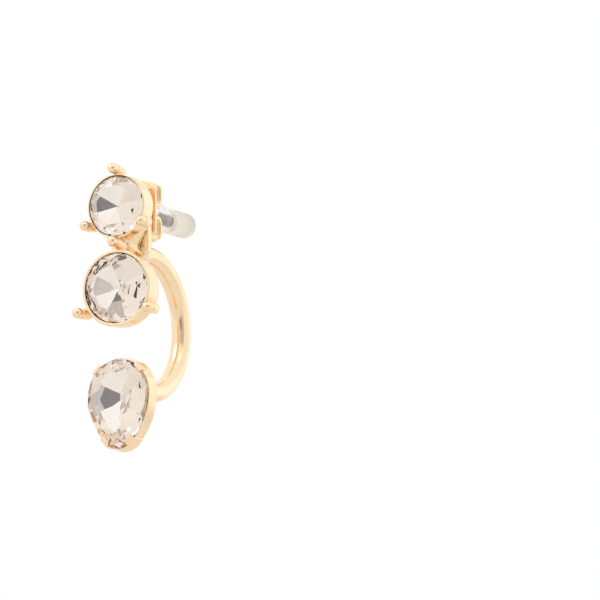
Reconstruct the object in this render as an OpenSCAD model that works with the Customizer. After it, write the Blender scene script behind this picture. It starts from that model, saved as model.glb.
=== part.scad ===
// Ear jacket earring, one of a pair, in millimetres.
// X runs across the ear, +Y back along the post and +Z up. The origin is on the
// post's axis, at the flat back of the front setting, where the ear lobe starts.

/* [Front setting] */
// Depth of the front setting, from its rims to its flat back
setting_depth = 2.35; // [2.3:0.05:2.5]
// Distance between the centres of the two round stones
stone_pitch = 7.46; // [7.4:0.02:7.6]
// Radius of the upper round stone
top_stone_r = 2.69; // [2.62:0.01:2.7]
// Outer radius of the upper cup
top_cup_r = 2.86; // [2.84:0.01:2.9]
// Radius of the upper cup's back face
top_back_r = 2.1; // [1.9:0.1:2.4]
// Radius of the lower round stone
mid_stone_r = 3.12; // [3.05:0.01:3.2]
// Outer radius of the lower cup
mid_cup_r = 3.64; // [3.58:0.02:3.7]
// Radius of the lower cup's back face
mid_back_r = 2.7; // [2.5:0.1:3]
// Length of each cup's straight wall
cup_wall_l = 1.2; // [1.1:0.05:1.4]
// Width of the web that joins the two cups
web_w = 2; // [1.8:0.1:2.4]

/* [Prongs] */
// Radius of the balls on the upper cup's prongs
top_ball_r = 0.47; // [0.44:0.01:0.5]
// Distance of those balls from the upper stone's axis
top_ball_at = 3.34; // [3.3:0.02:3.4]
// Radius of the balls on the lower cup's prongs
mid_ball_r = 0.53; // [0.5:0.01:0.56]
// Distance of those balls from the lower stone's axis
mid_ball_at = 4.12; // [4.1:0.02:4.16]
// How far the balls' centres stand in front of the rims
ball_front = 0.6; // [0.5:0.05:0.7]
// How far the prongs run back beside the cups
prong_back = 0.7; // [0.6:0.05:0.9]

/* [Post] */
// Diameter of the ear post
post_d = 0.76; // [0.72:0.02:0.8]
// Length of the post behind the front setting
post_l = 7.2; // [7:0.1:7.4]
// Depth of the post's socket in the front setting
socket_depth = 0.55; // [0.4:0.05:0.6]

/* [Jacket] */
// Thickness of the jacket's plate
plate_t = 0.85; // [0.8:0.05:0.9]
// Radius of the plate's round top
plate_top_r = 1.75; // [1.6:0.05:2]
// Radius of the plate's lower end, where the arm starts
plate_foot_r = 1.15; // [1:0.05:1.25]
// Distance from the post down to the lower end's centre
plate_drop = 3.9; // [3.7:0.1:4.1]
// Diameter of the plate's hole for the post
plate_hole_d = 1.1; // [1:0.05:1.3]
// Diameter of the arm's wire
arm_d = 1.76; // [1.7:0.02:1.8]
// Radius of the arm's bend, at the middle of the wire
bend_r = 6.15; // [6.1:0.01:6.2]
// Distance from the post down to the centre of the bend
bend_drop = 10.08; // [10.05:0.01:10.2]
// Distance of the bend's centre behind the front setting
bend_back = 3.25; // [3.2:0.05:3.3]

/* [Pear] */
// Width of the pear stone
pear_w = 6.1; // [6:0.05:6.2]
// Radius of the pear's long sides
pear_side_r = 5.9; // [5.8:0.05:6]
// Distance from the post down to the centre of the pear's round end
pear_drop = 16.9; // [16.85:0.05:17.1]
// Distance from the pear's rim forward to the front setting's rims
pear_rim_back = 0.73; // [0.7:0.01:0.8]
// Thickness of the pear setting's wall
pear_wall_t = 0.22; // [0.2:0.01:0.28]
// Depth of the pear setting's wall
pear_wall_l = 1.05; // [1.05:0.05:1.2]

/* [Clutch] */
// Sheet thickness of the butterfly clutch
sheet_t = 0.3; // [0.28:0.01:0.32]
// Depth of the clutch along the post
clutch_depth = 2; // [1.9:0.05:2]
// Width of the clutch's plate
clutch_w = 4.4; // [4.2:0.1:4.6]
// Width of the clutch's two scrolls
scroll_w = 3.6; // [3.4:0.1:3.8]
// Distance from the post's axis to the scrolls' outer ends
scroll_top = 2.88; // [2.8:0.01:2.9]

/* [Sleeve] */
// Radius of the sleeve's mouth, next to the clutch
sleeve_mouth_r = 1.32; // [1.25:0.01:1.4]
// Radius of the sleeve's round far end
sleeve_tip_r = 1.06; // [1:0.01:1.1]
// Length of the sleeve
sleeve_l = 7.6; // [7.4:0.1:7.8]
// Depth of the sleeve's bore
sleeve_bore_l = 4.3; // [4.2:0.05:4.6]

/* [Hidden] */
$fn = 96;

// Colours
gold = [0.93, 0.76, 0.52];
steel = [0.72, 0.72, 0.74];
crystal = [0.88, 0.86, 0.83];
clear_plastic = [0.9, 0.88, 0.84, 0.6];

// Small gaps that keep the pieces apart
stone_gap = 0.03;
post_gap = 0.02;
face_gap = 0.05;
past = 1; // how far a cutting shape reaches past the metal

// Places along the post, as Y
rim_y = -setting_depth;
plate_y = face_gap;
clutch_y = plate_y + plate_t + face_gap;
sleeve_y = clutch_y + clutch_depth + 2 * face_gap;
pear_rim_y = rim_y + pear_rim_back;
pear_back_y = pear_rim_y + pear_wall_l;
bore_r = post_d / 2 + post_gap;

// Each round stone and its cup: the stone's height, its radius, the cup's outer
// radius, the radius of its back, the prong balls' radius and their distance
top = [0, top_stone_r, top_cup_r, top_back_r, top_ball_r, top_ball_at];
mid = [-stone_pitch, mid_stone_r, mid_cup_r, mid_back_r, mid_ball_r, mid_ball_at];

// Round stones: depths from the rim, and each ring's share of the girdle's radius
girdle_at = 0.18;
girdle_t = 0.08;
crown_h = 0.62;
pavilion_h = 1.05;
table_share = 0.58;
star_share = 0.84;
star_rise = 0.62;
seat_depth = girdle_at + girdle_t + 0.06;
seat_floor = girdle_at + girdle_t + pavilion_h + 0.12;
facets = 8;

// The prongs stand at 12, 4 and 8 o'clock
prong_angles = [0, 120, 240];
rod_share = 0.86;

// The plate's neck and the arm
arm_r = arm_d / 2;
bend_turn = 212; // from the lowest point, round the back, into the plate
bend_low_z = -bend_drop - bend_r;

// The pear's long sides are arcs about points on the far side of its axis
side_shift = pear_side_r - pear_w / 2;
pear_girdle_at = 0.2;
pear_crown_h = 0.62;
pear_pavilion_h = 0.78;
pear_table_inset = 1.25;
pear_star_inset = 0.5;
pear_culet_inset = 2.75;
pear_boss_inset = 0.9;
pear_boss_l = 0.45;
// Steps of the pear's seat: how far in from the stone's edge, and how deep
pear_seat_steps = [[0, 0.58], [1, 0.84], [1.9, 1.12]];

// Claws: side of the pear, angle from its round centre or its side arc's centre
claw_w = 0.84;
claw_t = 0.36;
claw_lip = 0.5; // reach over the stone
claw_lip_t = 0.24;
claw_front = 0.44; // how far the claws stand in front of the rim
upper_claw_turn = 45;
lower_claw_drop = 4.1;
lower_claw_turn = 90 + asin(lower_claw_drop / pear_side_r);

// The clutch stays inside this radius, so that the jacket's arm passes it
clutch_reach = 2.95;
scroll_r = clutch_depth / 2;
scroll_near = post_d / 2 + 2 * post_gap;
scroll_slit = 0.4;

// An outline drawn in X and Z, thickened from one depth to another
module slab(y_from, y_to) {
    translate([0, y_to, 0])
        rotate([90, 0, 0])
            linear_extrude(height = y_to - y_from)
                children();
}

// An outline drawn in Y and Z, thickened evenly to both sides
module across(width) {
    translate([-width / 2, 0, 0])
        rotate([90, 0, 90])
            linear_extrude(height = width)
                children();
}

// A profile of [radius, Y] points, turned about the Y axis
module turned(profile) {
    rotate([-90, 0, 0])
        rotate_extrude()
            polygon(profile);
}

// A round bar along Y
module bar(r, y_from, y_to) {
    translate([0, y_from, 0])
        rotate([-90, 0, 0])
            cylinder(r = r, h = y_to - y_from);
}

// A cup for a round stone, with a small bevel on its rim
module cup_body(cup) {
    bevel = 0.06;
    translate([0, 0, cup[0]])
        turned([
            [0, rim_y],
            [cup[2] - bevel, rim_y],
            [cup[2], rim_y + bevel],
            [cup[2], rim_y + cup_wall_l],
            [cup[3], 0],
            [0, 0]
        ]);
}

// The hollow that a round stone sits in
module stone_seat(cup) {
    seat_r = cup[1] + stone_gap;
    translate([0, 0, cup[0]])
        turned([
            [0, rim_y - past],
            [seat_r, rim_y - past],
            [seat_r, rim_y + seat_depth],
            [0.15 * seat_r, rim_y + seat_floor],
            [0, rim_y + seat_floor]
        ]);
}

// Three ball-tipped prongs, each joined to the cup's wall by a short root
module prongs(cup) {
    rod_r = rod_share * cup[4];
    root_from = cup[1] + 0.1;
    translate([0, 0, cup[0]])
        for (turn = prong_angles)
            rotate([0, turn, 0]) {
                translate([0, rim_y - ball_front, cup[5]])
                    sphere(r = cup[4]);
                translate([0, 0, cup[5]])
                    bar(rod_r, rim_y - ball_front, rim_y + prong_back);
                translate([0, rim_y + prong_back / 2, root_from])
                    cylinder(r = 0.6 * rod_r, h = cup[5] - root_from);
            }
}

// The web between the cups
module web() {
    web_front = 0.35;
    overlap = 0.5;
    slab(rim_y + web_front, 0)
        translate([-web_w / 2, -stone_pitch + mid_back_r - overlap])
            square([web_w, stone_pitch - mid_back_r - top_back_r + 2 * overlap]);
}

module front_setting() {
    color(gold)
        difference() {
            union() {
                cup_body(top);
                cup_body(mid);
                web();
                prongs(top);
                prongs(mid);
            }
            stone_seat(top);
            stone_seat(mid);
            bar(bore_r, -socket_depth, past);
        }
}

// A ring of a cut stone: a regular polygon at a depth behind the rim. It is the
// base of a low pyramid whose point is inside the stone, to the back or front
module stone_ring(sides, r, depth, turn, to_back = true) {
    translate([0, rim_y + depth, 0])
        rotate([to_back ? -90 : 90, turn, 0])
            cylinder(r1 = r, r2 = 0, h = girdle_t, $fn = sides);
}

// A round cut stone: table, star and main facets, girdle and pointed back
module round_stone(cup) {
    half_facet = 180 / facets;
    girdle_back = girdle_at + girdle_t;
    star_at = girdle_at - (1 - star_rise) * crown_h;
    translate([0, 0, cup[0]])
        hull() {
            stone_ring(facets, table_share * cup[1], girdle_at - crown_h, half_facet / 2);
            stone_ring(facets, star_share * cup[1], star_at, 1.5 * half_facet);
            stone_ring(4 * facets, cup[1], girdle_at, 0);
            stone_ring(4 * facets, cup[1], girdle_back, 0, false);
            stone_ring(facets, 0.1 * cup[1], girdle_back + pavilion_h, 0, false);
        }
}

module stone_top() {
    color(crystal) round_stone(top);
}

module stone_middle() {
    color(crystal) round_stone(mid);
}

module ear_post() {
    bevel = 0.1;
    color(steel)
        turned([
            [0, post_gap - socket_depth],
            [post_d / 2, post_gap - socket_depth],
            [post_d / 2, post_l - bevel],
            [post_d / 2 - bevel, post_l],
            [0, post_l]
        ]);
}

// The pear's outline about the centre of its round end, grown evenly outward
module pear_outline(grow) {
    round_r = pear_w / 2 + grow;
    side_r = pear_side_r + grow;
    circle(r = round_r);
    intersection() {
        translate([-side_shift, 0]) circle(r = side_r);
        translate([side_shift, 0]) circle(r = side_r);
        translate([-side_r, -2 * side_r]) square([2 * side_r, 2 * side_r]);
    }
}

// A slab with the pear's outline, at depths behind the pear's rim
module pear_slab(grow, depth_from, depth_to) {
    translate([0, 0, -pear_drop])
        slab(pear_rim_y + depth_from, pear_rim_y + depth_to)
            pear_outline(grow);
}

// One claw, on the +X side: a tab up the wall, folded over as a round-ended lip
module claw(edge_r) {
    root = 0.1;
    lip_r = claw_w / 2;
    front_y = pear_rim_y - claw_front;
    translate([edge_r - root, front_y, -lip_r])
        cube([claw_t + root, claw_front + pear_wall_l, claw_w]);
    translate([edge_r - claw_lip + lip_r, 0, 0])
        bar(lip_r, front_y, front_y + claw_lip_t);
}

// Two claws on the round end and two near the point, on both sides
module claws() {
    translate([0, 0, -pear_drop])
        for (side = [0, 1])
            mirror([side, 0, 0]) {
                rotate([0, -upper_claw_turn, 0])
                    claw(pear_w / 2);
                translate([-side_shift, 0, 0])
                    rotate([0, lower_claw_turn - 90, 0])
                        claw(pear_side_r);
            }
}

// The cup behind the pear stone, with the stone's stepped seat cut into it
module pear_setting() {
    difference() {
        union() {
            pear_slab(pear_wall_t, 0, pear_wall_l);
            pear_slab(-pear_boss_inset, pear_wall_l, pear_wall_l + pear_boss_l);
        }
        for (step = pear_seat_steps)
            pear_slab(stone_gap - step[0], -past, step[1]);
    }
}

// The plate behind the front setting, narrowing down to the arm
module jacket_plate() {
    slab(plate_y, plate_y + plate_t) {
        circle(r = plate_top_r);
        translate([0, -plate_drop]) circle(r = plate_foot_r);
        polygon([
            [-plate_top_r, 0],
            [plate_top_r, 0],
            [plate_foot_r, -plate_drop],
            [-plate_foot_r, -plate_drop]
        ]);
    }
}

// The round arm: from the plate up and back, down behind the lobe and forward
module jacket_arm() {
    intersection() {
        translate([0, bend_back, -bend_drop])
            rotate([0, 90, 0])
                rotate_extrude(angle = bend_turn)
                    translate([bend_r, 0]) circle(r = arm_r);
        translate([-arm_d, plate_y, -30])
            cube([2 * arm_d, 30, 30]);
    }
    translate([0, 0, bend_low_z])
        bar(arm_r, pear_back_y + 0.2, bend_back);
}

module jacket() {
    color(gold) {
        difference() {
            union() {
                jacket_plate();
                jacket_arm();
            }
            bar(plate_hole_d / 2, -past, plate_y + plate_t + past);
        }
        pear_setting();
        claws();
    }
}

// A point of the pear stone's edge, moved in by inset: along the right side from
// the tip, round the top and down the left side, for a step from 0 to 16
function pear_point(step, inset) =
    let (
        r = pear_w / 2 - inset,
        side_r = pear_side_r - inset,
        tip_turn = acos(side_shift / side_r),
        up = step / 4
    )
    step <= 4 ? [side_r * cos(tip_turn * (1 - up)) - side_shift, -side_r * sin(tip_turn * (1 - up))]
    : step < 12 ? [r * cos(22.5 * (step - 4)), r * sin(22.5 * (step - 4))]
    : [-pear_point(16 - step, inset)[0], pear_point(16 - step, inset)[1]];

// A ring of the pear stone, at a depth behind its rim. It is the base of a low
// pyramid whose point is inside the stone, to the back or front
module pear_ring(inset, depth, to_back = true) {
    translate([0, pear_rim_y + depth, -pear_drop])
        mirror([0, to_back ? 1 : 0, 0])
            rotate([90, 0, 0])
                linear_extrude(height = girdle_t, scale = 0)
                    polygon([for (step = [0:15]) pear_point(step, inset)]);
}

module stone_pear() {
    girdle_back = pear_girdle_at + girdle_t;
    color(crystal)
        hull() {
            pear_ring(pear_table_inset, pear_girdle_at - pear_crown_h);
            pear_ring(pear_star_inset, pear_girdle_at - 0.45 * pear_crown_h);
            pear_ring(0, pear_girdle_at);
            pear_ring(0, girdle_back, false);
            pear_ring(pear_culet_inset, girdle_back + pear_pavilion_h, false);
        }
}

// A scroll's section, in Y and Z: a strip bent back on itself towards the post
module scroll_section(thinner) {
    r = scroll_r - thinner;
    low = scroll_near + scroll_r;
    high = scroll_top - scroll_r;
    translate([clutch_y + scroll_r, low]) circle(r = r);
    translate([clutch_y + scroll_r, high]) circle(r = r);
    translate([clutch_y + scroll_r - r, low]) square([2 * r, high - low]);
}

// One scroll above the post, open towards the plate
module scroll() {
    across(scroll_w)
        difference() {
            scroll_section(0);
            scroll_section(sheet_t);
            translate([clutch_y + sheet_t, 0])
                square([scroll_slit, scroll_near + scroll_r]);
        }
}

module butterfly_clutch() {
    color(gold)
        difference() {
            intersection() {
                union() {
                    slab(clutch_y, clutch_y + sheet_t)
                        translate([-clutch_w / 2, -scroll_top])
                            square([clutch_w, 2 * scroll_top]);
                    scroll();
                    mirror([0, 0, 1]) scroll();
                }
                bar(clutch_reach, 0, clutch_y + clutch_depth + past);
            }
            bar(bore_r, 0, clutch_y + clutch_depth + past);
        }
}

// The sleeve over the post's end: wide at its mouth, round at its far end
module post_sleeve() {
    wide_l = 0.22 * sleeve_l;
    neck_l = 0.36 * sleeve_l;
    neck_r = sleeve_tip_r + 0.06;
    round_y = sleeve_y + sleeve_l - sleeve_tip_r;
    color(clear_plastic)
        difference() {
            turned(concat(
                [
                    [0, sleeve_y],
                    [sleeve_mouth_r, sleeve_y],
                    [sleeve_mouth_r, sleeve_y + wide_l],
                    [neck_r, sleeve_y + neck_l]
                ],
                [for (a = [0:15:90]) [sleeve_tip_r * cos(a), round_y + sleeve_tip_r * sin(a)]]
            ));
            bar(bore_r + post_gap / 2, sleeve_y - past, sleeve_y + sleeve_bore_l);
        }
}

front_setting();
stone_top();
stone_middle();
ear_post();
jacket();
stone_pear();
butterfly_clutch();
post_sleeve();
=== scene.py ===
"""Looks of the ear jacket earring: cast gold-plated metal, foil-backed cut stones, a steel post,
a butterfly clutch and a clear sleeve, in soft studio light.

Sizes are in millimetres until a mesh is made, and in metres in the materials and on the stage.
X runs to the side, Y from the front to the back along the post, and Z up."""

import math
from collections import namedtuple

import bmesh
import bpy
import numpy as np
from mathutils import Matrix, Vector


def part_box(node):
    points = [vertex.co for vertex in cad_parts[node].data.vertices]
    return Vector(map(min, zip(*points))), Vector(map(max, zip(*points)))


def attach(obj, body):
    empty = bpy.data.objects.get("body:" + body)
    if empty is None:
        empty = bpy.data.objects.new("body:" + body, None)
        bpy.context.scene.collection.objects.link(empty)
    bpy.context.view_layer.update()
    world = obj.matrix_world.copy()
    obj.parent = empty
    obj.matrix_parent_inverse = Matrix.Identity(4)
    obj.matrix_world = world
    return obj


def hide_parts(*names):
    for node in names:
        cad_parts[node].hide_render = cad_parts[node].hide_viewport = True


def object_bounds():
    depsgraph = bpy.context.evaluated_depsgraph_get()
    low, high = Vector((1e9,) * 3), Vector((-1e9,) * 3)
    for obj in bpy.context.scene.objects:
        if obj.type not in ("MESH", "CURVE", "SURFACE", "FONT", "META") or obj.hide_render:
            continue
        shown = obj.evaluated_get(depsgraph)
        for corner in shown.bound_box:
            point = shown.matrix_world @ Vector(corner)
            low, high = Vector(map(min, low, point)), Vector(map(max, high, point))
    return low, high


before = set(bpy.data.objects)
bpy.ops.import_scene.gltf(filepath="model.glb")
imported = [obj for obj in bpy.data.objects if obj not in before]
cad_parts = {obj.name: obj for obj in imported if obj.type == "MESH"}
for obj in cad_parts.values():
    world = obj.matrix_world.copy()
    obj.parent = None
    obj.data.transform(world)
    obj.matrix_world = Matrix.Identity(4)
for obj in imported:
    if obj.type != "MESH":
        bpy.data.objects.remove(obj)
cad_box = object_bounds()
object_centre = (cad_box[0] + cad_box[1]) / 2

MM = 0.001

# How far a cut runs past the face that it opens
PAST = 1.0

# Front setting: two cups and a web on one flat back
RIM_Y, BACK_Y = -2.35, 0.0
CUP_WALL_L, CUP_EDGE = 1.2, 0.09
CUP_TAPER_TURNS = (90, 65, 40, 20)
CUPS_FILLET, RIM_EDGE = 0.35, 0.08

# A cup: its height, the radii of its stone, wall and back, its prongs' balls, and its stone's back depth
Cup = namedtuple("Cup", "z stone_r wall_r back_r ball_r ball_at culet")
TOP = Cup(z=0.0, stone_r=2.69, wall_r=2.93, back_r=2.1, ball_r=0.46, ball_at=3.34, culet=0.97)
MIDDLE = Cup(z=-7.46, stone_r=3.12, wall_r=3.48, back_r=2.7, ball_r=0.5, ball_at=4.16, culet=1.4)

# A round stone's seat: its room beside the stone, under the stone's edge and under its point
STONE_GAP, LEDGE_GAP, POINT_GAP = 0.08, 0.3, 0.12
SEAT_TIP_R, SEAT_EDGE = 0.1, 0.06

# Prongs, from the rim back: a ball, a stem that leans in, and a root that runs into the wall
PRONG_TURNS = (0, 120, 240)
BALL_FROM, BALL_TO = -0.6, -0.55
STEM_FROM, STEM_TO, STEM_LEAN, STEM_SWELL = 0.05, 0.9, 0.2, 1.04
ROOT_FROM, ROOT_TO, ROOT_INSET, ROOT_SWELL = 0.8, 1.7, 0.1, 1.1
BALL_NECK, ROOT_FILLET, PRONG_FILLET = 0.05, 0.1, 0.1

# Web between the cups: a wedge with a blunt nose, and a fillet that widens to the back
WEB_FROM, WEB_PAST_BACK, WEB_HALF_L = 1.3, 0.1, 1.9
WEB_NOSE_HALF_W, WEB_ROOT_HALF_W, WEB_ROUND, WEB_EDGE = 0.4, 0.75, 0.32, 0.1
FILLET_FROM, FILLET_L, FILLET_LEAST, FILLET_GROWTH = 0.5, 1.3, 0.2, 1.6

# Post, and its socket in the front setting's back
POST_R, POST_END, POST_TIP_R = 0.38, 7.2, 0.16
SOCKET_DEPTH, SOCKET_EDGE, POST_GAP = 0.55, 0.01, 0.02
POST_SIDES, POST_RINGS, POST_FIRST_RING = 48, 8, 0.1

# Jacket's plate, on the post behind the front setting
PLATE_Y = (0.05, 0.9)
PLATE_TOP_R, PLATE_FOOT_R, PLATE_FOOT_Z, PLATE_EDGE = 2.0, 1.95, -3.2, 0.24
HOLE_R, HOLE_EDGE = 0.55, 0.08

# Jacket's arm: a round wire, bent by these angles about the bend's centre, in the plane X = 0
ARM_R, ARM_FILLET = 0.88, 0.5
BEND_Y, BEND_Z, BEND_R = 3.22, -10.0, 6.25
BEND_FROM, BEND_TO = -90, 122
ARM_END_GAP = 0.4

# The arm is cut flush with the plate's front face, down to this height
FLUSH_TO_Z, FLUSH_EDGE = -10.9, 0.06
FAR = 100.0

# Pear stone's outline: a half circle, two long side arcs and a small round end
PEAR_Z, PEAR_R, PEAR_SIDE_R, PEAR_END_R = -16.9, 3.05, 6.4, 1.67
SIDE_SHIFT = PEAR_SIDE_R - PEAR_R
PEAR_END_Z = -math.sqrt((PEAR_SIDE_R - PEAR_END_R) ** 2 - SIDE_SHIFT**2)

# Pear setting: a wall that flares to the back, and a low boss behind it
PEAR_RIM_Y, PEAR_WALL_L = -1.76, 1.19
PEAR_BACK_Y = PEAR_RIM_Y + PEAR_WALL_L
PEAR_WALL_FRONT, PEAR_WALL_BACK, PEAR_WALL_EDGE = 0.06, 0.22, 0.07
BOSS_L, BOSS_ROOT_L, BOSS_INSET, BOSS_EDGE = 0.45, 0.3, 0.9, 0.15
BOSS_FILLET, PEAR_FILLET = 0.25, 0.3

# Pear's seat: its inset, its depth at the stone's edge, and how it deepens to the middle
PEAR_SEAT_INSET, PEAR_SEAT_AT, PEAR_SEAT_SLOPE, PEAR_SEAT_RUN = 0.04, 0.16, 0.43, 2.6
PEAR_SEAT_CORNER, PEAR_SEAT_EDGE = 0.02, 0.05

# Claws: where the upper and the lower pair stand, and how far each reaches over the stone
UPPER_CLAW_TURN, UPPER_CLAW_REACH = 45, 0.08
LOWER_CLAW_DROP, LOWER_CLAW_REACH = 4.4, 0.3
Claw = namedtuple("Claw", "x z out_x out_z reach")

# A claw's middle line, out from the stone's edge and forward of the rim, and its section
CLAW_OUT, CLAW_BEND_OUT = 0.14, 0.08
CLAW_FOOT_UP, CLAW_SHOULDER, CLAW_BEND, CLAW_TIP, CLAW_TIP_RISE = 0.1, 0.06, 0.24, 0.27, 0.4
CLAW_HALF_T, CLAW_HALF_W, CLAW_CORNER, CLAW_FILLET = 0.12, 0.5, 0.07, 0.1
CLAW_TAPER_FROM, CLAW_TAPER_L, CLAW_TAPER = 0.05, 0.5, 0.3

# Cut stones: where the edge of a round stone and of the pear begins behind the rim, and its width
GIRDLE_AT, PEAR_GIRDLE_AT, GIRDLE_T = 0.18, -0.06, 0.13
ROUND_SIDES, PEAR_STEP, PEAR_TIP_TURN = 64, 5, -90
MAINS = 8
MAIN_STEP = 360 / MAINS

# Cutting: distances taken as none, and the least slant by which a face counts as front or back
CUT_TOLERANCE, WELD_TOLERANCE, LEAST_FACING = 1e-5, 1e-4, 0.1

# A round cut: angles in degrees, table and inner_share as shares of the radius, star of the crown's slope
Cut = namedtuple(
    "Cut",
    "turn table crown star crown_break pavilion_turn pavilion pavilion_break"
    " inner inner_share inner_turn askew tipped",
)
TOP_CUT = Cut(
    turn=27, table=0.69, crown=0.65, star=0.74, crown_break=7.2,
    pavilion_turn=8.8, pavilion=15.9, pavilion_break=4.8,
    inner=15.9, inner_share=0.1, inner_turn=8.8, askew=2.5, tipped=0,
)
MIDDLE_CUT = Cut(
    turn=0, table=0.72, crown=0.36, star=0.8, crown_break=5,
    pavilion_turn=36, pavilion=23.7, pavilion_break=5,
    inner=20, inner_share=0.22, inner_turn=24, askew=1.7, tipped=2.5,
)

# A pear cut: angles in degrees, mains and breaks on its right side, inner_share of the way to the culet
PearCut = namedtuple(
    "PearCut",
    "mains breaks crown crown_slope crown_break star star_in star_down"
    " culet culet_z pavilion_break inner inner_share inner_turn end_slope askew tipped",
)
PEAR_CUT = PearCut(
    mains=(90, 56.4, 13.6, -52.8), breaks=(66.6, 23.7, -28, -69.8),
    crown=0.7, crown_slope=29, crown_break=4, star=13.9, star_in=1.5, star_down=0.08,
    culet=1.11, culet_z=-0.1, pavilion_break=5.2,
    inner=17.1, inner_share=0.69, inner_turn=42, end_slope=31.3, askew=2.5, tipped=-0.4,
)

# Butterfly clutch: a plate, and a strip bent over and rolled in above and below the post
CLUTCH_Y, CLUTCH_DEPTH, SHEET_T, SHEET_EDGE = 0.95, 2.0, 0.3, 0.07
CLUTCH_HALF_W, CLUTCH_CORNER_R, CLUTCH_HOLE_EDGE = 2.2, 0.9, 0.04
SCROLL_HALF_W, SCROLL_NEAR, SCROLL_TOP, SCROLL_FILLET = 1.8, 0.42, 2.9, 0.1
CURL_R, CURL_RISE, LIP_RISE, LIP_OUT = 0.55, -0.25, 0.1, 0.2
ROLL_RECESS, ROLL_INSET, ROLL_FILLET = 0.26, 0.15, 0.12
CLUTCH_REACH, REACH_EDGE = 2.95, 0.15

# Sleeve: a flared mouth that grips the post, a room behind it, and a long round end
SLEEVE_Y, SLEEVE_L, SLEEVE_SIDES = 3.05, 7.6, 96
SLEEVE_MOUTH_R, SLEEVE_TIP_R, MOUTH_EDGE = 1.32, 1.13, 0.14
FLARE_FROM, FLARE_TO, FLARE_RINGS, WAIST_SWELL = 0.22, 0.36, 9, 0.05
SLEEVE_BORE, SLEEVE_BORE_R, BORE_LEAD, BORE_EDGE = 4.3, 0.41, 0.1, 0.06
SLEEVE_GRIP_L, SLEEVE_ROOM_R, ROOM_EDGE = 1.5, 0.92, 0.3
TIP_EDGE, TIP_FLAT_INSET, TIP_BULGE = 0.62, 0.78, 0.003

CELL, QUICK_CELL = 0.067, 0.12

# Skin: the room round its box, the step that measures a slope, and its rounds of evening and drawing
SKIN_ROOM, SLOPE_STEP, LEAST_SLOPE, TINY_SLOPE = 0.3, 0.002, 0.2, 1e-6
EVENING_ROUNDS, DRAWS_A_ROUND = 3, 2

# The value, in cells, of a grid point that is filled in, and a step along each axis
JUST_INSIDE = -0.01
UNIT = np.eye(3, dtype=int)

# Camera: the photograph's viewing angle, and where the upper stone's rim centre shows in it
VIEW_AZIMUTH, VIEW_ELEVATION = 30, -9
VIEW_DISTANCE = 600
PIXELS, PIXELS_PER_MM = 600, 11.15
STONE_PIXEL = (115.7, 205.7)
SENSOR_WIDTH = 36
BOUNCES = 32

# Stage, in metres: the floor, and the distances between which it fades out
FLOOR_HALF, FLOOR_Z, FLOOR_SEGMENTS = 1.2, -0.2, 8
FLOOR_FADE = (0.55, 1.15)

# White surroundings: their brightness up to a height, and at the top
SKY_LOW, SKY_HIGH, SKY_FROM = 1.0, 1.06, 0.25

# Lights, placed round the object like a camera
Softbox = namedtuple("Softbox", "name azimuth elevation distance size strength")
SOFTBOXES = (
    Softbox("key_light", azimuth=-35, elevation=45, distance=0.35, size=0.15, strength=0.13),
    Softbox("back_light", azimuth=150, elevation=12, distance=0.4, size=0.3, strength=0.05),
    Softbox("small_light", azimuth=60, elevation=48, distance=0.35, size=0.05, strength=0.03),
)

# Grey cards for the reflections, and the darkest tone of one as a share of its shade
CARD_LOW = 0.8
Card = namedtuple("Card", "name azimuth elevation distance width height shade")
CARDS = (
    Card("camera_side_card", azimuth=30, elevation=-4, distance=0.62, width=0.17, height=0.22, shade=0.2),
    Card("grey_card", azimuth=40, elevation=0, distance=0.72, width=0.75, height=0.8, shade=0.66),
)


# Distance fields, for points given as arrays (x, y, z): negative inside the metal


def smooth_min(a, b, blend):
    """The smaller of two distances, with a fillet about as wide as blend where they meet."""
    share = np.clip(0.5 + 0.5 * (b - a) / blend, 0, 1)
    return b + (a - b) * share - blend * share * (1 - share)


def smooth_max(a, b, blend):
    """The larger of two distances, with an edge about as wide as blend where they meet."""
    return -smooth_min(-a, -b, blend)


def to_line(u, v, start, end):
    """Distance from a straight line between two flat points."""
    run_u, run_v = end[0] - start[0], end[1] - start[1]
    off_u, off_v = u - start[0], v - start[1]
    t = np.clip((off_u * run_u + off_v * run_v) / (run_u**2 + run_v**2), 0, 1)
    return np.hypot(off_u - t * run_u, off_v - t * run_v)


def path(u, v, points):
    """Distance from an open line through these points."""
    distance = np.inf
    for start, end in zip(points, points[1:]):
        distance = np.minimum(distance, to_line(u, v, start, end))
    return distance


def polygon(u, v, corners):
    """Distance from a flat outline with these corners."""
    distance = path(u, v, [*corners, corners[0]])
    inside = False
    for (start_u, start_v), (end_u, end_v) in zip(corners, corners[1:] + corners[:1]):
        if start_v != end_v:
            edge_u = start_u + (end_u - start_u) * (v - start_v) / (end_v - start_v)
            inside = inside ^ (((start_v > v) != (end_v > v)) & (u < edge_u))
    return np.where(inside, -distance, distance)


def arc(centre_u, centre_v, r, start, end, steps):
    """Points on an arc, by angle from the first axis towards the second."""
    for i in range(steps + 1):
        a = math.radians(start + (end - start) * i / steps)
        yield centre_u + r * math.cos(a), centre_v + r * math.sin(a)


def slab(outline, along, start, end, edge):
    """An outline's distance, thickened from start to end, with its edges rounded by edge."""
    side = outline + edge
    cap = np.abs(along - (start + end) / 2) - (end - start) / 2 + edge
    outside = np.hypot(np.maximum(side, 0), np.maximum(cap, 0))
    return np.minimum(np.maximum(side, cap), 0) + outside - edge


def rod(p, start, end, r_start, r_end):
    """A round-ended rod between two points."""
    x, y, z = (c - s for c, s in zip(p, start))
    run_x, run_y, run_z = (e - s for e, s in zip(end, start))
    t = np.clip((x * run_x + y * run_y + z * run_z) / (run_x**2 + run_y**2 + run_z**2), 0, 1)
    away = np.sqrt((x - t * run_x) ** 2 + (y - t * run_y) ** 2 + (z - t * run_z) ** 2)
    return away - r_start - (r_end - r_start) * t


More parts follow.
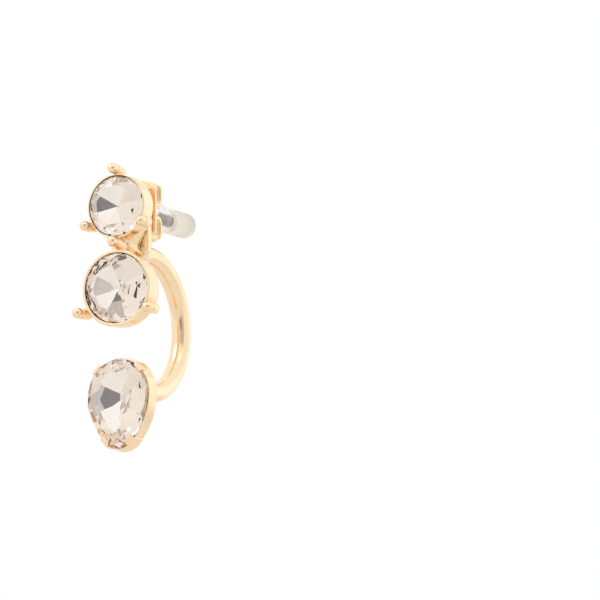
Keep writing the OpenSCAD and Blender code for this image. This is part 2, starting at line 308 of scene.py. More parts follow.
def pear(x, z, inset=0.0):
    """Distance from the pear stone's outline, drawn in by inset."""
    side, up = np.abs(x) + SIDE_SHIFT, z - PEAR_Z
    top = np.hypot(x, up) - PEAR_R
    flank = np.hypot(side, up) - PEAR_SIDE_R
    end = np.hypot(x, up - PEAR_END_Z) - PEAR_END_R
    below = -up * SIDE_SHIFT > -PEAR_END_Z * side
    return np.where(up > 0, top, np.where(below, end, flank)) + inset


# Front setting


def clock(cup, turn, r):
    """The X and Z of a place on a cup's clock face, at an angle from 12 o'clock."""
    a = math.radians(turn)
    return r * math.sin(a), cup.z + r * math.cos(a)


def cup_metal(p, cup):
    """A cup: straight wall, then a rounded taper to its flat back."""
    x, y, z = p
    front, wall_end, back = RIM_Y + CUP_EDGE, RIM_Y + CUP_WALL_L, BACK_Y - CUP_EDGE
    wall_r = cup.wall_r - CUP_EDGE
    taper = []
    for turn in CUP_TAPER_TURNS:
        a = math.radians(turn)
        taper.append((cup.back_r + (wall_r - cup.back_r) * math.sin(a), wall_end * (1 - math.cos(a))))
    corners = [(-wall_r, front), (wall_r, front), *taper, (cup.back_r, back), (-wall_r, back)]
    return polygon(np.hypot(x, z - cup.z), y, corners) - CUP_EDGE


def stone_seat(p, cup):
    """The hollow that a round stone sits in."""
    x, y, z = p
    seat_r = cup.stone_r + STONE_GAP
    under = RIM_Y + GIRDLE_AT + GIRDLE_T
    ledge, floor = under + LEDGE_GAP, under + cup.culet + POINT_GAP
    corners = [
        (-seat_r, RIM_Y - PAST), (seat_r, RIM_Y - PAST), (seat_r, ledge),
        (SEAT_TIP_R, floor), (-SEAT_TIP_R, floor), (-seat_r, ledge),
    ]
    return polygon(np.hypot(x, z - cup.z), y, corners)


def prong(p, cup, turn):
    """A prong beside a cup: a stem with a ball at its tip and a root on the wall."""
    ball_x, ball_z = clock(cup, turn, cup.ball_at)
    lean_x, lean_z = clock(cup, turn, cup.ball_at - STEM_LEAN)
    root_x, root_z = clock(cup, turn, cup.back_r - ROOT_INSET)
    ball_r, stem_r, root_r = cup.ball_r, STEM_SWELL * cup.ball_r, ROOT_SWELL * cup.ball_r
    ball = rod(p, (ball_x, RIM_Y + BALL_FROM, ball_z), (ball_x, RIM_Y + BALL_TO, ball_z), ball_r, ball_r)
    stem = rod(p, (ball_x, RIM_Y + STEM_FROM, ball_z), (lean_x, RIM_Y + STEM_TO, lean_z), ball_r, stem_r)
    root = rod(p, (lean_x, RIM_Y + ROOT_FROM, lean_z), (root_x, RIM_Y + ROOT_TO, root_z), stem_r, root_r)
    return smooth_min(smooth_min(ball, stem, BALL_NECK), root, ROOT_FILLET)


def prongs(p, cup):
    """The three prongs beside a cup."""
    found = np.inf
    for turn in PRONG_TURNS:
        found = np.minimum(found, prong(p, cup, turn))
    return found


def web(p):
    """The wedge that joins the cups."""
    x, y, z = p
    middle = (MIDDLE.z + MIDDLE.back_r - TOP.back_r) / 2
    front, back = RIM_Y + WEB_FROM, BACK_Y + WEB_PAST_BACK
    corners = [
        (-WEB_NOSE_HALF_W, front), (WEB_NOSE_HALF_W, front),
        (WEB_ROOT_HALF_W, back), (-WEB_ROOT_HALF_W, back),
    ]
    wedge = polygon(x, y, corners) - WEB_ROUND
    return slab(wedge, z, middle - WEB_HALF_L, middle + WEB_HALF_L, WEB_EDGE)


def front_setting(p):
    """The cups, the web and the prongs, with the stones' seats and the post's socket cut in."""
    x, y, z = p
    metal = smooth_min(cup_metal(p, TOP), cup_metal(p, MIDDLE), CUPS_FILLET)
    depth = np.clip((y - RIM_Y - FILLET_FROM) / FILLET_L, 0, 1)
    metal = smooth_min(metal, web(p), FILLET_LEAST + FILLET_GROWTH * depth)
    metal = smooth_max(metal, RIM_Y - y, RIM_EDGE)
    for cup in (TOP, MIDDLE):
        metal = smooth_min(metal, prongs(p, cup), PRONG_FILLET)
    for cup in (TOP, MIDDLE):
        metal = smooth_max(metal, -stone_seat(p, cup), SEAT_EDGE)
    bore = np.hypot(x, z) - POST_R - POST_GAP
    socket = slab(bore, y, BACK_Y - SOCKET_DEPTH, BACK_Y + PAST, SOCKET_EDGE)
    return np.maximum(np.maximum(metal, y - BACK_Y), -socket)


# Jacket


def arm(p):
    """The arm: a round wire on a circle, then straight to the pear setting."""
    x, y, z = p
    middle, half = (BEND_FROM + BEND_TO) / 2, (BEND_TO - BEND_FROM) / 2
    turn = np.degrees(np.arctan2(z - BEND_Z, y - BEND_Y)) - middle
    turn = np.clip((turn + 180) % 360 - 180, -half, half)
    a = np.radians(turn + middle)
    off_y, off_z = y - BEND_Y - BEND_R * np.cos(a), z - BEND_Z - BEND_R * np.sin(a)
    bend = np.sqrt(x**2 + off_y**2 + off_z**2) - ARM_R
    low = BEND_Z - BEND_R
    straight = rod(p, (0, BEND_Y, low), (0, PEAR_BACK_Y + ARM_END_GAP, low), ARM_R, ARM_R)
    return np.minimum(bend, straight)


def pear_cup(p):
    """The pear setting's flaring wall, with its boss."""
    x, y, z = p
    share = np.clip((y - PEAR_RIM_Y) / PEAR_WALL_L, 0, 1)
    wall = PEAR_WALL_FRONT + (PEAR_WALL_BACK - PEAR_WALL_FRONT) * share
    cup = slab(pear(x, z) - wall, y, PEAR_RIM_Y, PEAR_BACK_Y, PEAR_WALL_EDGE)
    boss = slab(pear(x, z, BOSS_INSET), y, PEAR_BACK_Y - BOSS_ROOT_L, PEAR_BACK_Y + BOSS_L, BOSS_EDGE)
    return smooth_min(cup, boss, BOSS_FILLET)


def pear_seat(p):
    """The hollow that the pear stone sits in."""
    x, y, z = p
    deeper = PEAR_SEAT_SLOPE * np.clip(-pear(x, z), 0, PEAR_SEAT_RUN)
    floor = PEAR_RIM_Y + PEAR_SEAT_AT + deeper
    return slab(pear(x, z, PEAR_SEAT_INSET), y, PEAR_RIM_Y - PAST, floor, PEAR_SEAT_CORNER)


def claw_places():
    """Where each claw stands on the pear's outline, and the direction out from there."""
    upper = math.radians(UPPER_CLAW_TURN)
    lower = -math.asin(LOWER_CLAW_DROP / PEAR_SIDE_R)
    for side in (1, -1):
        for a, r, shift, reach in (
            (upper, PEAR_R, 0, UPPER_CLAW_REACH),
            (lower, PEAR_SIDE_R, SIDE_SHIFT, LOWER_CLAW_REACH),
        ):
            x, z = side * (r * math.cos(a) - shift), PEAR_Z + r * math.sin(a)
            yield Claw(x, z, side * math.cos(a), math.sin(a), reach)


def claws(p):
    """Four tabs up the pear setting's wall, bent over the stone's edge."""
    x, y, z = p
    found = np.inf
    for claw in claw_places():
        out = (x - claw.x) * claw.out_x + (z - claw.z) * claw.out_z
        across = (z - claw.z) * claw.out_x - (x - claw.x) * claw.out_z
        line = [
            (CLAW_OUT, PEAR_BACK_Y - CLAW_FOOT_UP), (CLAW_OUT, PEAR_RIM_Y - CLAW_SHOULDER),
            (CLAW_BEND_OUT, PEAR_RIM_Y - CLAW_BEND),
            (-claw.reach, PEAR_RIM_Y - CLAW_TIP - CLAW_TIP_RISE * claw.reach),
        ]
        tab = path(out, y, line) - CLAW_HALF_T
        half = CLAW_HALF_W - CLAW_TAPER * np.clip(CLAW_TAPER_FROM - out, 0, CLAW_TAPER_L)
        found = np.minimum(found, slab(tab, across, -half, half, CLAW_CORNER))
    return found


def jacket(p):
    """The plate with the post's hole, the arm, and the pear setting with its claws."""
    x, y, z = p
    neck = rod((x, 0, z), (0, 0, 0), (0, 0, PLATE_FOOT_Z), PLATE_TOP_R, PLATE_FOOT_R)
    plate = slab(neck, y, *PLATE_Y, PLATE_EDGE)
    metal = smooth_min(plate, arm(p), ARM_FILLET)
    ahead = np.where(z < FLUSH_TO_Z, -FAR, PLATE_Y[0] - y)
    metal = smooth_max(metal, ahead, FLUSH_EDGE)
    metal = smooth_min(metal, pear_cup(p), PEAR_FILLET)
    metal = smooth_max(metal, -pear_seat(p), PEAR_SEAT_EDGE)
    metal = smooth_min(metal, claws(p), CLAW_FILLET)
    return smooth_max(metal, HOLE_R - np.hypot(x, z), HOLE_EDGE)


# Butterfly clutch


def scroll_line():
    """The bent strip's middle line above the post, as (Y, Z): up the plate, over, down, and up inside."""
    half = SHEET_T / 2
    front, back = CLUTCH_Y + half, CLUTCH_Y + CLUTCH_DEPTH - half
    over_r = (back - front) / 2
    over_z, curl_z = SCROLL_TOP - half - over_r, SCROLL_NEAR + half + CURL_R
    over = arc(front + over_r, over_z, over_r, 180, 0, steps=12)
    curl = arc(back - CURL_R, curl_z, CURL_R, 0, -180, steps=8)
    inner = back - 2 * CURL_R
    return [*over, *curl, (inner, over_z + CURL_RISE), (inner + LIP_OUT, over_z + LIP_RISE)]


def scroll_roll(p):
    """The wound strip's inside, above and below the post, a little back from its ends."""
    x, y, z = p
    r = (CLUTCH_DEPTH - SHEET_T) / 2
    middle = CLUTCH_Y + CLUTCH_DEPTH / 2
    line = [(middle, SCROLL_NEAR + r + ROLL_INSET), (middle, SCROLL_TOP - r - ROLL_INSET)]
    half = SCROLL_HALF_W - ROLL_RECESS
    return slab(path(y, np.abs(z), line) - r, x, -half, half, SHEET_EDGE)


def butterfly_clutch(p):
    """The plate and the two scrolls, kept inside the arm's swing, with the post's hole."""
    x, y, z = p
    face = slab(np.abs(x) - CLUTCH_HALF_W, z, -SCROLL_TOP, SCROLL_TOP, CLUTCH_CORNER_R)
    plate = slab(face, y, CLUTCH_Y, CLUTCH_Y + SHEET_T, SHEET_EDGE)
    strip = path(y, np.abs(z), scroll_line()) - SHEET_T / 2
    scrolls = slab(strip, x, -SCROLL_HALF_W, SCROLL_HALF_W, SHEET_EDGE)
    metal = smooth_min(smooth_min(plate, scrolls, SCROLL_FILLET), scroll_roll(p), ROLL_FILLET)
    metal = smooth_max(metal, np.hypot(x, z) - CLUTCH_REACH, REACH_EDGE)
    return smooth_max(metal, POST_R + POST_GAP - np.hypot(x, z), CLUTCH_HOLE_EDGE)


# Skin of a distance field


def gradient(field, points):
    """Direction and steepness in which the field grows at these points."""
    slopes = []
    for axis in range(3):
        shift = SLOPE_STEP * UNIT[axis]
        rise = field((points + shift).T) - field((points - shift).T)
        slopes.append(rise / (2 * SLOPE_STEP))
    return np.stack(slopes, 1)


def without_pinches(inside):
    """Marks of the grid points inside, filled in where metal would touch itself across a square."""
    inside = inside.copy()
    pinched = True
    while pinched:
        pinched = False
        for axis in range(3):
            flat = np.moveaxis(inside, axis, 2)
            a, b, c, d = flat[:-1, :-1], flat[1:, :-1], flat[:-1, 1:], flat[1:, 1:]
            falling, rising = a & d & ~b & ~c, b & c & ~a & ~d
            b |= falling
            a |= rising
            pinched = pinched or falling.any() or rising.any()
    return inside


def cell_points(value, inside):
    """A point, in cells, for each grid cell that the surface runs through, and the points' numbers."""
    across = np.array(value.shape) - 1
    corners = [np.array([i, j, k]) for i in (0, 1) for j in (0, 1) for k in (0, 1)]
    full = np.zeros(across, np.int8)
    for corner in corners:
        full += inside[tuple(slice(c, c + n) for c, n in zip(corner, across))]
    mixed = (full > 0) & (full < len(corners))
    number = np.full(mixed.shape, -1)
    number[mixed] = np.arange(mixed.sum())
    cells = np.argwhere(mixed)
    total, hits = np.zeros((len(cells), 3)), np.zeros(len(cells))
    for corner in corners:
        for step in UNIT[corner == 0]:
            near, far = (value[tuple((cells + c).T)] for c in (corner, corner + step))
            crossed = (near < 0) != (far < 0)
            share = near[crossed] / (near[crossed] - far[crossed])
            total[crossed] += corner + share[:, None] * step
            hits[crossed] += 1
    return cells + total / hits[:, None], number


def cell_quads(inside, number):
    """Quads round the grid's edges that cross the surface, each with its front to the outside."""
    quads = []
    for axis in range(3):
        u, v = UNIT[(axis + 1) % 3], UNIT[(axis + 2) % 3]
        first = np.take(inside, range(inside.shape[axis] - 1), axis)
        second = np.take(inside, range(1, inside.shape[axis]), axis)
        at = np.argwhere(first != second)
        outward = first[tuple(at.T)]
        ring = np.stack([number[tuple((at - s).T)] for s in (0 * u, u, u + v, v)], 1)
        quads.append(np.where(outward[:, None], ring, ring[:, ::-1]))
    return np.concatenate(quads)


def settled(field, points, quads, cell):
    """The points evened out along the surface, and drawn back onto it."""
    flat = quads.ravel()
    share = np.bincount(flat, minlength=len(points))
    for _ in range(EVENING_ROUNDS):
        centres = np.repeat(points[quads].mean(1), 4, axis=0)
        sums = [np.bincount(flat, centres[:, axis], len(points)) for axis in range(3)]
        points = np.stack(sums, 1) / share[:, None]
        for _ in range(DRAWS_A_ROUND):
            slope = gradient(field, points)
            step = field(points.T) / np.maximum((slope**2).sum(1), LEAST_SLOPE)
            points = points - np.clip(step, -cell, cell)[:, None] * slope
    return points


def skin(field, low, high, cell):
    """Vertices, quads and normals of the surface where the field is zero, on a grid of cubes."""
    origin = np.array(low) - SKIN_ROOM
    counts = np.ceil((np.array(high) + SKIN_ROOM - origin) / cell).astype(int) + 1
    lines = [start + cell * np.arange(count) for start, count in zip(origin, counts)]
    value = field(np.meshgrid(*lines, indexing="ij", sparse=True)) + np.zeros(counts)
    inside = without_pinches(value < 0)
    value[inside & (value >= 0)] = JUST_INSIDE * cell
    places, number = cell_points(value, inside)
    quads = cell_quads(inside, number)
    points = settled(field, origin + cell * places, quads, cell)
    slope = gradient(field, points)
    steepness = np.maximum(np.linalg.norm(slope, axis=1), TINY_SLOPE)
    return points, quads, slope / steepness[:, None]


def new_piece(name, mesh, body, material, node):
    """An object for a mesh that stands for a CAD node and rides on its body."""
    mesh.materials.append(material)
    piece = bpy.data.objects.new(name, mesh)
    bpy.context.scene.collection.objects.link(piece)
    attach(piece, body)
    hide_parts(node)
    return piece


def cast_piece(node, field, body, material):
    """A metal piece whose surface is where its field is zero."""
    low, high = (np.array(c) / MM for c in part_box(node))
    points, quads, normals = skin(field, low, high, CELL)
    mesh = bpy.data.meshes.new(node + "_metal")
    mesh.from_pydata((points * MM).tolist(), [], quads.tolist())
    mesh.shade_smooth()
    mesh.normals_split_custom_set_from_vertices(normals.tolist())
    return new_piece(node + "_metal", mesh, body, material, node)


# Cut stones, each made round its own centre with its table to the front


def mesh_of(bm, name):
    """A mesh from an edit, which ends there."""
    mesh = bpy.data.meshes.new(name)
    bm.to_mesh(mesh)
    bm.free()
    return mesh


def facet(azimuth, edge, depth, slope, back=False):
    """A facet's plane: it passes through the stone's edge at this depth and slopes from there."""
    a, s = math.radians(azimuth), math.radians(slope)
    out = Vector((math.cos(a), 0, math.sin(a)))
    normal = out * math.sin(s) + Vector((0, 1 if back else -1, 0)) * math.cos(s)
    return out * edge + Vector((0, depth, 0)), normal


def cut_stone(name, size, planes):
    """A block cut by planes. Faces that look back get the second material, and the edge the third."""
    bm = bmesh.new()
    bmesh.ops.create_cube(bm, size=2 * size)
    for place, normal in planes:
        cut = bmesh.ops.bisect_plane(
            bm, geom=[*bm.verts, *bm.edges, *bm.faces], dist=CUT_TOLERANCE,
            plane_co=place, plane_no=normal, clear_outer=True,
        )
        edges = [e for e in cut["geom_cut"] if isinstance(e, bmesh.types.BMEdge)]
        if len(edges) > 2:
            bmesh.ops.contextual_create(bm, geom=edges)
    bmesh.ops.remove_doubles(bm, verts=bm.verts, dist=WELD_TOLERANCE)
    bmesh.ops.recalc_face_normals(bm, faces=bm.faces)
    for face in bm.faces:
        front, back = face.normal.y < -LEAST_FACING, face.normal.y > LEAST_FACING
        face.material_index = 0 if front else 1 if back else 2
    return mesh_of(bm, name)


def table_plane(depth):
    """The flat front of a stone."""
    return Vector((0, depth, 0)), Vector((0, -1, 0))


def round_planes(cup, cut):
    """The facets of a round brilliant."""
    r, front, back = cup.stone_r, GIRDLE_AT, GIRDLE_AT + GIRDLE_T
    table, table_r = front - cut.crown, cut.table * r
    main = math.degrees(math.atan2(cut.crown, r - table_r))
    inner_depth = back + r * (1 - cut.inner_share) * math.tan(math.radians(cut.pavilion))
    planes = [table_plane(table)]
    for i in range(ROUND_SIDES):
        planes.append(facet(360 * i / ROUND_SIDES, r, 0, 90))
    for i in range(MAINS):
        a = cut.turn + MAIN_STEP * i
        b = a + cut.pavilion_turn
        planes.append(facet(a, r, front, main))
        star_at = table_r * math.cos(math.pi / MAINS)
        planes.append(facet(a + MAIN_STEP / 2, star_at, table, cut.star * main))
        planes.append(facet(b, r, back, cut.pavilion, back=True))
        planes.append(facet(a + cut.inner_turn, cut.inner_share * r, inner_depth, cut.inner, back=True))
        for side in (MAIN_STEP / 4, MAIN_STEP * 3 / 4):
            planes.append(facet(a + side, r, front, main + cut.crown_break))
            planes.append(facet(b + side, r, back, cut.pavilion + cut.pavilion_break, back=True))
    return planes


def pear_edge(azimuth):
    """How far the pear's outline reaches from its round end's centre in a direction."""
    across, up = abs(math.cos(math.radians(azimuth))), math.sin(math.radians(azimuth))
    if up >= 0:
        return PEAR_R
    below = -up * SIDE_SHIFT > -PEAR_END_Z * across
    return PEAR_END_R + PEAR_END_Z * up if below else PEAR_SIDE_R - SIDE_SHIFT * across


def both_sides(angles):
    """These directions and their mirror images, each once."""
    return sorted({*angles, *(180 - a for a in angles)})


def run_to_culet(azimuth, cut):
    """How far it is from the pear's edge to its culet, along a direction."""
    return pear_edge(azimuth) - math.sin(math.radians(azimuth)) * cut.culet_z


def slope_to_culet(azimuth, cut):
    """How steeply a back facet runs from the pear's edge to the culet."""
    return math.degrees(math.atan2(cut.culet, run_to_culet(azimuth, cut)))


def pear_planes(cut):
    """The facets of a pear brilliant, point down."""
    front, back = PEAR_GIRDLE_AT, PEAR_GIRDLE_AT + GIRDLE_T
    table = front - cut.crown
    planes = [table_plane(table)]
    for azimuth in range(0, 360, PEAR_STEP):
        planes.append(facet(azimuth, pear_edge(azimuth), 0, 90))
    for a in both_sides(cut.mains):
        planes.append(facet(a, pear_edge(a), front, cut.crown_slope))
        planes.append(facet(a, pear_edge(a), back, slope_to_culet(a, cut), back=True))
    for a in both_sides(cut.breaks):
        planes.append(facet(a, pear_edge(a), front, cut.crown_slope + cut.crown_break))
        planes.append(facet(a, pear_edge(a) - cut.star_in, table + cut.star_down, cut.star))
        planes.append(facet(a, pear_edge(a), back, slope_to_culet(a, cut) + cut.pavilion_break, back=True))
    tip = pear_edge(PEAR_TIP_TURN)
    planes.append(facet(PEAR_TIP_TURN, tip, front, cut.end_slope))
    planes.append(facet(PEAR_TIP_TURN, tip, back, cut.end_slope, back=True))
    inner_depth = back + cut.culet * (1 - cut.inner_share)
    for i in range(MAINS):
        a = cut.inner_turn + MAIN_STEP * i
        place, normal = facet(a, cut.inner_share * run_to_culet(a, cut), inner_depth, cut.inner, back=True)
        planes.append((place + Vector((0, 0, cut.culet_z)), normal))
    return planes


def stone_piece(node, body, place, planes, cut, materials):
    """A cut stone in its place, set a little askew, its back foiled and its edge painted dark brown, both
    as lacquer and as painted shade of the gap round the stone.
    """
    glass, foil, lacquer_and_shade = materials
    mesh = cut_stone(node + "_cut", 2 * PEAR_R, planes)
    askew = Matrix.Rotation(math.radians(cut.askew), 4, "Z")
    tipped = Matrix.Rotation(math.radians(cut.tipped), 4, "X")
    mesh.transform(Matrix.Scale(MM, 4) @ Matrix.Translation(place) @ askew @ tipped)
    piece = new_piece(node + "_cut", mesh, body, glass, node)
    mesh.materials.append(foil)
    # The edge's dark brown is partly lacquer and partly painted shade, standing in for the shaded gap
    # between stone and seat
    mesh.materials.append(lacquer_and_shade)
    return piece


# Turned pieces


def turned(name, profile, sides):
    """A closed mesh from a profile of (radius, y) points, turned about the post's axis."""
    bm = bmesh.new()
    rings = []
    for r, y in profile:
        ring = []
        for i in range(sides if r else 1):
            a = 2 * math.pi * i / sides
            ring.append(bm.verts.new((r * math.cos(a) * MM, y * MM, r * math.sin(a) * MM)))
        rings.append(ring)
    for one, two in zip(rings, rings[1:]):
        for i in range(sides):
            j = (i + 1) % sides
            corners = [one[i % len(one)], one[j % len(one)], two[j % len(two)], two[i % len(two)]]
            bm.faces.new(dict.fromkeys(corners))
    bmesh.ops.recalc_face_normals(bm, faces=bm.faces)
    mesh = mesh_of(bm, name)
    mesh.shade_smooth()
    return mesh


def post_profile():
    """The post, from its foot in the socket to its rounded tip."""
    foot = BACK_Y - SOCKET_DEPTH + POST_GAP
    shaft = [(POST_R, y) for y in np.linspace(POST_FIRST_RING, POST_END - POST_TIP_R, POST_RINGS)]
    tip = arc(POST_R - POST_TIP_R, POST_END - POST_TIP_R, POST_TIP_R, 15, 90, steps=5)
    return [(0, foot), (POST_R, foot), *shaft, *tip, (0, POST_END)]


def sleeve_bore():
    """The sleeve's inside, from its closed end to its mouth."""
    end, grip_end = SLEEVE_Y + SLEEVE_BORE, SLEEVE_Y + SLEEVE_GRIP_L
    return [
        (0, end),
        *arc(SLEEVE_ROOM_R - ROOM_EDGE, end - ROOM_EDGE, ROOM_EDGE, 80, 0, steps=5),
        (SLEEVE_ROOM_R, grip_end + ROOM_EDGE),
        (SLEEVE_BORE_R, grip_end),
        (SLEEVE_BORE_R, SLEEVE_Y + BORE_LEAD),
        *arc(SLEEVE_BORE_R + BORE_EDGE, SLEEVE_Y + BORE_EDGE, BORE_EDGE, 180, 270, steps=3),
    ]


def sleeve_outside():
    """The sleeve's outside, from its mouth over the flare to its round end."""
    end, waist_r = SLEEVE_Y + SLEEVE_L, SLEEVE_TIP_R + WAIST_SWELL
    flare = []
    for t in np.linspace(0, 1, FLARE_RINGS):
        r = waist_r + (SLEEVE_MOUTH_R - waist_r) * (0.5 + 0.5 * math.cos(math.pi * t))
        flare.append((r, SLEEVE_Y + SLEEVE_L * (FLARE_FROM + (FLARE_TO - FLARE_FROM) * t)))
    return [
        *arc(SLEEVE_MOUTH_R - MOUTH_EDGE, SLEEVE_Y + MOUTH_EDGE, MOUTH_EDGE, -90, 0, steps=5),
        *flare,
        *arc(SLEEVE_TIP_R - TIP_EDGE, end - TIP_EDGE, TIP_EDGE, 0, 80, steps=9),
        (SLEEVE_TIP_R - TIP_FLAT_INSET, end - TIP_BULGE),
        (0, end),
    ]


# Materials


class Finish:
    """A material in the making: its Principled shader, and short ways to add nodes to it."""

    def __init__(self, name, **fixed):
        self.material = bpy.data.materials.new(name)
        self.material.use_nodes = True
        self.tree = self.material.node_tree
        self.shader = self.tree.nodes["Principled BSDF"]
        for socket, value in fixed.items():
            self.shader.inputs[socket.replace("_", " ")].default_value = value

    def add(self, kind, inputs, **settings):
        """A node with these inputs, each a value or another node's output, and these settings."""
        node = self.tree.nodes.new(kind)
        for key, value in settings.items():
            setattr(node, key, value)
        for key, value in inputs.items():
            if isinstance(value, bpy.types.NodeSocket):
                self.tree.links.new(value, node.inputs[key])
            else:
                node.inputs[key].default_value = value
        return node.outputs

    def feed(self, socket, source):
        """Links a node's output to the shader."""
        self.tree.links.new(source, self.shader.inputs[socket])

    def place(self):
        """The object's own coordinates, in metres."""
        return self.add("ShaderNodeTexCoord", {})["Object"]

    def noise(self, scale, detail, squeeze=None):
        """Noise with about scale bumps in a metre, or that many times squeeze along each axis."""
        place = self.place()
        if squeeze:
            place = self.add("ShaderNodeMapping", {"Vector": place, "Scale": squeeze})["Vector"]
        return self.add("ShaderNodeTexNoise", {"Vector": place, "Scale": scale, "Detail": detail})["Fac"]

    def spread(self, source, low, high, start=0.3, end=0.7, **settings):
        """A value from low to high, as the source goes from start to end."""
        inputs = {"Value": source, "From Min": start, "From Max": end, "To Min": low, "To Max": high}
        return self.add("ShaderNodeMapRange", inputs, **settings)["Result"]

    def tint(self, source, dark, light, start=0, end=1):
        """A colour from dark to light, as the source goes from start to end."""
        ramp = self.tree.nodes.new("ShaderNodeValToRGB")
        self.tree.links.new(source, ramp.inputs["Fac"])
        low, high = ramp.color_ramp.elements
        low.position, low.color = start, (*dark, 1)
        high.position, high.color = end, (*light, 1)
        return ramp.outputs["Color"]

    def bump(self, height, **inputs):
        """A normal that follows this height."""
        return self.add("ShaderNodeBump", {"Height": height, **inputs})["Normal"]


def gold_material(name, smoothest, roughest):
    """Polished pale gold plating: faint cast waviness, with colour and gloss that vary a little."""
    gold = Finish(name, Metallic=1.0)
    tone = gold.noise(scale=420, detail=4)
    gold.feed("Base Color", gold.tint(tone, (0.95, 0.71, 0.445), (0.98, 0.78, 0.53), start=0.3, end=0.72))
    gold.feed("Roughness", gold.spread(gold.noise(scale=2600, detail=3), smoothest, roughest))
    waves = gold.bump(gold.noise(scale=900, detail=2), Strength=0.25, Distance=0.00006)
    grain = gold.bump(gold.noise(scale=6000, detail=2), Strength=0.12, Distance=0.00001, Normal=waves)
    gold.feed("Normal", grain)
    return gold.material


def steel_material():
    """Drawn steel, with fine lines round the post."""
    steel = Finish("post_steel", Metallic=1.0)
    lines = steel.noise(scale=900, detail=3, squeeze=(1, 12, 1))
    steel.feed("Base Color", steel.tint(lines, (0.27, 0.27, 0.28), (0.44, 0.44, 0.45)))
    steel.feed("Roughness", steel.spread(lines, 0.2, 0.34))
    return steel.material


def crystal_material():
    """Clear cut glass, with the faintest wear on its polish."""
    glass = Finish("cut_glass", Transmission_Weight=1.0, IOR=1.57, Base_Color=(1.0, 0.985, 0.965, 1))
    glass.feed("Roughness", glass.spread(glass.noise(scale=3000, detail=4), 0.0, 0.01))
    return glass.material


def foil_material():
    """The mirror foil behind a stone, a little warm and uneven."""
    foil = Finish("stone_foil", Metallic=1.0)
    tone = foil.noise(scale=700, detail=2)
    foil.feed("Base Color", foil.tint(tone, (0.91, 0.85, 0.795), (0.97, 0.925, 0.88)))
    foil.feed("Roughness", foil.spread(tone, 0.0, 0.02))
    return foil.material


def lacquer_and_shade_material():
    """Dark brown on a foiled stone's edge, which shows as a fine dark line round the stone: partly
    lacquer, partly painted shade of the gap between the stone and its seat.
    """
    lacquer_and_shade = Finish("stone_lacquer_and_shade")
    tone = lacquer_and_shade.noise(scale=1500, detail=3)
    # Painted shade: this dark brown also stands in for the shade in the gap round each stone
    lacquer_and_shade.feed("Base Color", lacquer_and_shade.tint(tone, (0.055, 0.03, 0.015), (0.13, 0.075, 0.04)))
    lacquer_and_shade.feed("Roughness", lacquer_and_shade.spread(tone, 0.3, 0.45))
    return lacquer_and_shade.material


def sleeve_material():
    """Soft clear plastic: clear round the post, frosted and a little beige beyond it."""
    frost_from, frost_to, wander = 0.0062, 0.0092, 0.004
    soft = Finish("sleeve_plastic", Transmission_Weight=1.0, IOR=1.35)
    along = soft.add("ShaderNodeSeparateXYZ", {"Vector": soft.place()})["Y"]
    uneven = soft.noise(scale=700, detail=2, squeeze=(0.3, 1.5, 0.3))
    edge = soft.add("ShaderNodeMath", {0: uneven, 1: wander, 2: along}, operation="MULTIPLY_ADD")["Value"]
    frost = soft.spread(edge, 0, 1, frost_from + wander / 2, frost_to + wander / 2)
    soft.feed("Base Color", soft.tint(frost, (0.97, 0.94, 0.91), (0.8, 0.72, 0.62)))
    soft.feed("Roughness", soft.spread(frost, 0.12, 0.5, start=0, end=1))
    return soft.material


def floor_material():
    """A pale matt floor that fades out before its edge, so that it ends in no hard line."""
    pale = Finish("pale_floor", Roughness=0.8)
    tone = pale.noise(scale=30, detail=3)
    pale.feed("Base Color", pale.tint(tone, (0.82, 0.81, 0.795), (0.86, 0.85, 0.835)))
    far = pale.add("ShaderNodeVectorMath", {0: pale.place()}, operation="LENGTH")["Value"]
    pale.feed("Alpha", pale.spread(far, 1, 0, *FLOOR_FADE, interpolation_type="SMOOTHSTEP"))
    return pale.material


def card_material(name, shade):
    """Matt grey card, a little uneven."""
    grey = Finish(name, Roughness=0.9)
    tone = grey.noise(scale=4, detail=2)
    grey.feed("Base Color", grey.tint(tone, (CARD_LOW * shade,) * 3, (shade,) * 3))
    return grey.material


# Stage


def flat_square(name, material, half, segments):
    """A flat square for the stage, which isn't part of the object."""
    bm = bmesh.new()
    bmesh.ops.create_grid(bm, x_segments=segments, y_segments=segments, size=half)
    mesh = mesh_of(bm, name)
    mesh.materials.append(material)
    square = bpy.data.objects.new(name, mesh)
    bpy.context.scene.collection.objects.link(square)
    return square


def add_floor():
    """A plain pale floor, well below the hanging earring."""
    floor = flat_square("floor", floor_material(), half=FLOOR_HALF, segments=FLOOR_SEGMENTS)
    floor.location.z = FLOOR_Z


def direction(azimuth, elevation):
    """From the object towards a place at this azimuth and elevation, as a camera's are given."""
    a, e = math.radians(azimuth), math.radians(elevation)
    return Vector((math.sin(a) * math.cos(e), -math.cos(a) * math.cos(e), math.sin(e)))


def hang(thing, place):
    """Puts a light or a card in its place round the object, facing it and hidden from the camera."""
    thing.location = object_centre + direction(place.azimuth, place.elevation) * place.distance
    thing.rotation_mode = "QUATERNION"
    thing.rotation_quaternion = (object_centre - thing.location).to_track_quat("-Z", "Y")
    thing.visible_camera = False


def add_softbox(box):
    """A square area light."""
    light = bpy.data.lights.new(box.name, "AREA")
    light.size = box.size
    light.energy = box.strength
    lamp = bpy.data.objects.new(box.name, light)
    bpy.context.scene.collection.objects.link(lamp)
    hang(lamp, box)


def add_card(card):
    """A card that only reflections and refractions see, for the contrast in metal and stones."""
    panel = flat_square(card.name, card_material(card.name, card.shade), half=0.5, segments=1)
    hang(panel, card)
    panel.scale = (card.width, card.height, 1)
    panel.visible_shadow = False
    panel.visible_diffuse = False


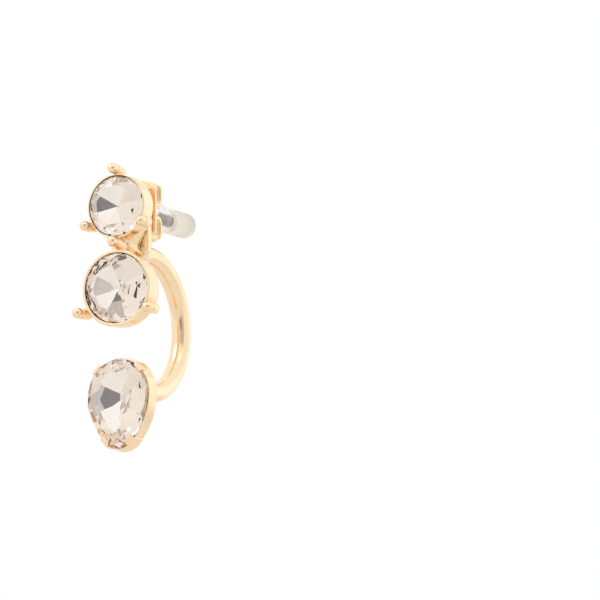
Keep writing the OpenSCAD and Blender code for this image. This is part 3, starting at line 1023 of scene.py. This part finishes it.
def add_world():
    """White surroundings, a little brighter above."""
    world = bpy.data.worlds.new("studio")
    world.use_nodes = True
    bpy.context.scene.world = world
    nodes, link = world.node_tree.nodes, world.node_tree.links.new
    place, split = nodes.new("ShaderNodeTexCoord"), nodes.new("ShaderNodeSeparateXYZ")
    ramp = nodes.new("ShaderNodeValToRGB")
    link(place.outputs["Generated"], split.inputs["Vector"])
    link(split.outputs["Z"], ramp.inputs["Fac"])
    low, high = ramp.color_ramp.elements
    low.position, low.color = SKY_FROM, (SKY_LOW,) * 3 + (1,)
    high.position, high.color = 1, (SKY_HIGH,) * 3 + (1,)
    link(ramp.outputs["Color"], nodes["Background"].inputs["Color"])
    nodes["Background"].inputs["Strength"].default_value = 1.0


def add_camera():
    """A long lens at the photograph's angle, turned to show the earring where the photograph has it."""
    data = bpy.data.cameras.new("camera")
    data.sensor_width = SENSOR_WIDTH
    data.lens = SENSOR_WIDTH * VIEW_DISTANCE * PIXELS_PER_MM / PIXELS
    data.clip_start, data.clip_end = 0.01, 10
    camera = bpy.data.objects.new("camera", data)
    bpy.context.scene.collection.objects.link(camera)
    back = direction(VIEW_AZIMUTH, VIEW_ELEVATION)
    right = direction(VIEW_AZIMUTH + 90, 0)
    up = back.cross(right)
    stone = Vector((0, RIM_Y, 0)) * MM
    off_right, off_down = ((PIXELS / 2 - pixel) / PIXELS_PER_MM * MM for pixel in STONE_PIXEL)
    target = stone + right * off_right - up * off_down
    away = object_centre - stone
    camera.location = stone + right * away.dot(right) + up * away.dot(up) + back * VIEW_DISTANCE * MM
    ahead = (target - camera.location).normalized()
    across = ahead.cross(up).normalized()
    axes = Matrix((across, across.cross(ahead), -ahead)).transposed()
    camera.rotation_mode = "QUATERNION"
    camera.rotation_quaternion = axes.to_quaternion()
    bpy.context.scene.camera = camera


# The earring


def add_metal():
    """The three pieces of gold-plated metal. The clutch's rolled sheet is less polished."""
    polished = gold_material("gold_plate", smoothest=0.12, roughest=0.22)
    rolled = gold_material("gold_sheet", smoothest=0.24, roughest=0.36)
    cast_piece("front_setting", front_setting, "stud", polished)
    cast_piece("jacket", jacket, "jacket", polished)
    cast_piece("butterfly_clutch", butterfly_clutch, "clutch", rolled)


def add_stones():
    """The two round stones and the pear."""
    materials = crystal_material(), foil_material(), lacquer_and_shade_material()
    for node, cup, cut in (("stone_top", TOP, TOP_CUT), ("stone_middle", MIDDLE, MIDDLE_CUT)):
        stone_piece(node, "stud", (0, RIM_Y, cup.z), round_planes(cup, cut), cut, materials)
    pear_place = (0, PEAR_RIM_Y, PEAR_Z)
    stone_piece("stone_pear", "jacket", pear_place, pear_planes(PEAR_CUT), PEAR_CUT, materials)


def add_turned_pieces():
    """The post and its sleeve."""
    post = turned("ear_post_steel", post_profile(), POST_SIDES)
    new_piece("ear_post_steel", post, "stud", steel_material(), "ear_post")
    sleeve = turned("post_sleeve_clear", sleeve_bore() + sleeve_outside(), SLEEVE_SIDES)
    new_piece("post_sleeve_clear", sleeve, "sleeve", sleeve_material(), "post_sleeve")


add_camera()
add_metal()
add_stones()
add_turned_pieces()
add_floor()
add_world()
for box in SOFTBOXES:
    add_softbox(box)
for card in CARDS:
    add_card(card)
bpy.context.scene.view_settings.view_transform = "Standard"
light_paths = bpy.context.scene.cycles
light_paths.max_bounces = light_paths.glossy_bounces = light_paths.transmission_bounces = BOUNCES
